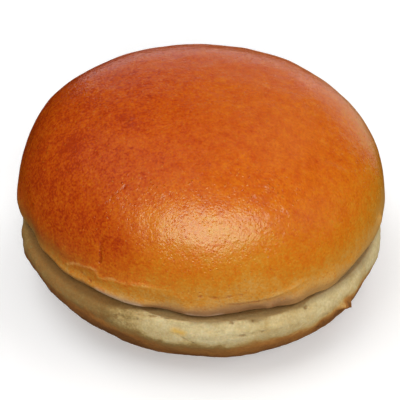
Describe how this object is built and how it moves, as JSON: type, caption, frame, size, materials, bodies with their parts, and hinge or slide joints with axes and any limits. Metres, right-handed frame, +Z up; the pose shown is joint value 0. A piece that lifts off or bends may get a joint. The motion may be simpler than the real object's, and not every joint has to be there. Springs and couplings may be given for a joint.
{
  "type": "brioche bun",
  "caption": "Sliced brioche bun: a glossy domed crown resting on a thick pale heel with a flat baked base.",
  "frame": {"origin": "middle of the bun's outline on the surface that it rests on", "axes": "+Z up through the crown, -Y towards the front of the bun, +X to its right"},
  "size_m": [0.112, 0.1132, 0.06],
  "materials": {
    "crown_crust": "satin",
    "heel_crust": "matte"
  },
  "bodies": {
    "root": {"crown": "crown_crust", "heel": "heel_crust"}
  },
  "joints": []
}
